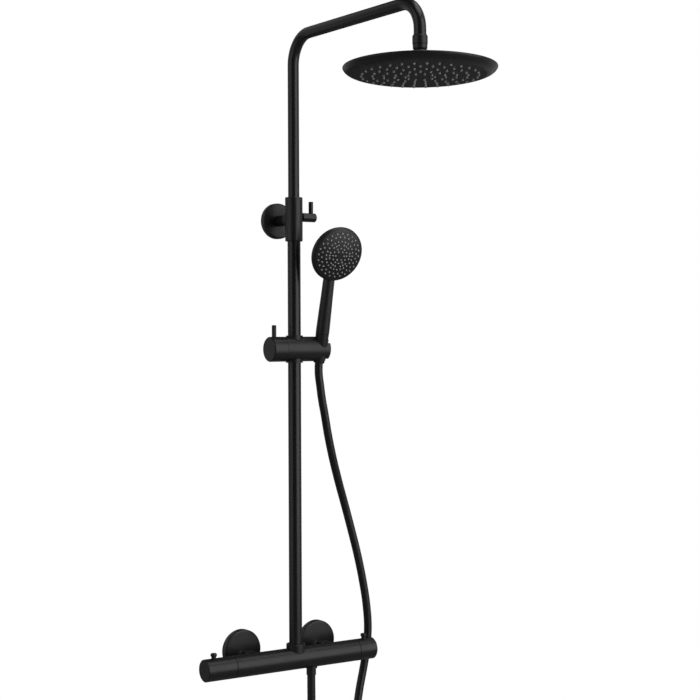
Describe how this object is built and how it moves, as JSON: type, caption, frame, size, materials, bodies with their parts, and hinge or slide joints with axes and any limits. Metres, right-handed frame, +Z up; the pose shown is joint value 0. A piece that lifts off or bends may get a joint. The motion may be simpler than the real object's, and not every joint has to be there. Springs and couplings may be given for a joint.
{
  "type": "rainfall shower column",
  "caption": "Thermostatic bar shower column with telescopic riser, swivelling rain head on a bent arm, height slider, hand shower and flexible hose.",
  "frame": {"origin": "on the wall plane, midway between the two G1/2 water inlets", "axes": "+X right when facing the wall, +Y into the wall, +Z up"},
  "size_m": [0.3497, 0.5651, 1.5112],
  "materials": {
    "satin_black": "satin black powder coat",
    "black_tube": "satin black coated brass tube, smoother than the castings",
    "black_plastic": "fine satin moulded plastic",
    "hose_pvc": "smooth satin flexible PVC",
    "silicone": "light grey soft silicone",
    "seal_rubber": "matt",
    "brass": "machined",
    "nickel": "plated, satin",
    "white_plastic": "moulded",
    "ceramic_disc": "lapped"
  },
  "bodies": {
    "valve_and_riser": {"valve_body": "satin_black", "eccentric_union_left": "nickel", "eccentric_union_right": "nickel", "union_nut_left": "satin_black", "union_nut_right": "satin_black", "wall_cover_left": "satin_black", "wall_cover_right": "satin_black", "inlet_filters": "nickel", "check_valves": "white_plastic", "thermostat_cartridge": "brass", "cartridge_nuts": "nickel", "diverter_cartridge": "brass", "riser_collar": "satin_black", "foot_seals": "seal_rubber", "lower_tube": "black_tube", "clamp_sleeve": "satin_black", "guide_bush": "white_plastic", "clamp_shoe": "brass", "bracket_stem": "satin_black", "bracket_cover": "satin_black", "bracket_base": "nickel", "bracket_screw": "nickel", "hose": "hose_pvc", "hose_fitting": "satin_black"},
    "temperature_control": {"temperature_knob": "satin_black", "thermostat_spindle": "brass", "temperature_button_spring": "nickel"},
    "safety_button": {"temperature_button": "satin_black"},
    "flow_control": {"flow_knob": "satin_black", "diverter_spindle": "brass", "diverter_disc": "ceramic_disc", "flow_button_spring": "nickel"},
    "eco_button": {"flow_button": "satin_black"},
    "sleeve_clamp": {"clamp_lever": "satin_black", "lever_pin": "satin_black", "clamp_screw": "nickel"},
    "telescopic_guide": {"tube_guide": "white_plastic"},
    "overhead_arm": {"upper_tube": "black_tube", "tube_seals": "seal_rubber", "ball_nut": "satin_black", "ball_stem": "nickel"},
    "swivel_seat": {"ball_seat": "white_plastic"},
    "rain_head": {"head_cap": "satin_black", "head_shell": "satin_black", "head_face": "black_plastic", "head_nozzles": "silicone", "head_gasket": "seal_rubber"},
    "slider": {"slider_body": "black_plastic", "slider_bush": "black_plastic", "slider_pad": "brass", "socket_liner": "black_plastic"},
    "slider_clamp": {"slider_knob": "satin_black", "slider_pin": "satin_black", "slider_screw": "nickel"},
    "hose_nut": {"cone_nut": "black_plastic", "nut_washer": "seal_rubber"},
    "hand_shower": {"handset_shell": "black_plastic", "handset_face": "black_plastic", "handset_nozzles": "silicone", "handset_gasket": "seal_rubber"}
  },
  "joints": [
    {"name": "temperature_turn", "type": "hinge", "parent": "valve_and_riser", "child": "temperature_control", "pos_m": [-0.149, -0.058, -0.014], "axis": [-1, 0, 0], "range_deg": [-150, 60]},
    {"name": "safety_press", "type": "slide", "parent": "temperature_control", "child": "safety_button", "axis": [0, 0, 1], "range_m": [-0.0025, 0], "stiffness_N_per_m": 300, "springref_m": 0.001, "deforming": ["temperature_button_spring"]},
    {"name": "flow_turn", "type": "hinge", "parent": "valve_and_riser", "child": "flow_control", "pos_m": [0.141, -0.058, -0.014], "axis": [1, 0, 0], "range_deg": [-90, 90]},
    {"name": "eco_press", "type": "slide", "parent": "flow_control", "child": "eco_button", "axis": [0, 0, 1], "range_m": [-0.0025, 0], "stiffness_N_per_m": 300, "springref_m": 0.001, "deforming": ["flow_button_spring"]},
    {"name": "sleeve_clamp_turn", "type": "hinge", "parent": "valve_and_riser", "child": "sleeve_clamp", "pos_m": [0.03, -0.058, 0.733], "axis": [-1, 0, 0], "range_deg": [-90, 0]},
    {"name": "riser_height", "type": "slide", "parent": "valve_and_riser", "child": "telescopic_guide", "axis": [0, 0, 1], "range_m": [-0.15, 0.22]},
    {"name": "arm_swivel", "type": "hinge", "parent": "telescopic_guide", "child": "overhead_arm", "pos_m": [0, -0.058, 0.9], "axis": [0, 0, 1], "range_deg": [-90, 90]},
    {"name": "head_roll", "type": "hinge", "parent": "overhead_arm", "child": "swivel_seat", "pos_m": [0, -0.418, 0.954], "axis": [0, 1, 0], "range_deg": [-9, 9]},
    {"name": "head_pitch", "type": "hinge", "parent": "swivel_seat", "child": "rain_head", "pos_m": [0, -0.418, 0.954], "axis": [1, 0, 0], "range_deg": [-9, 9]},
    {"name": "slider_height", "type": "slide", "parent": "valve_and_riser", "child": "slider", "axis": [0, 0, 1], "range_m": [-0.28, 0.14], "deforming": ["hose"]},
    {"name": "slider_clamp_turn", "type": "hinge", "parent": "slider", "child": "slider_clamp", "pos_m": [-0.035, -0.058, 0.51], "axis": [-1, 0, 0], "range_deg": [0, 90]},
    {"name": "handset_pull", "type": "slide", "parent": "slider", "child": "hose_nut", "axis": [0, -0.225, 0.9744], "range_m": [0, 0.027]},
    {"name": "handset_twist", "type": "hinge", "parent": "hose_nut", "child": "hand_shower", "pos_m": [0.047, -0.0665, 0.51], "axis": [0, -0.225, 0.9744], "range_deg": [-60, 60]}
  ]
}
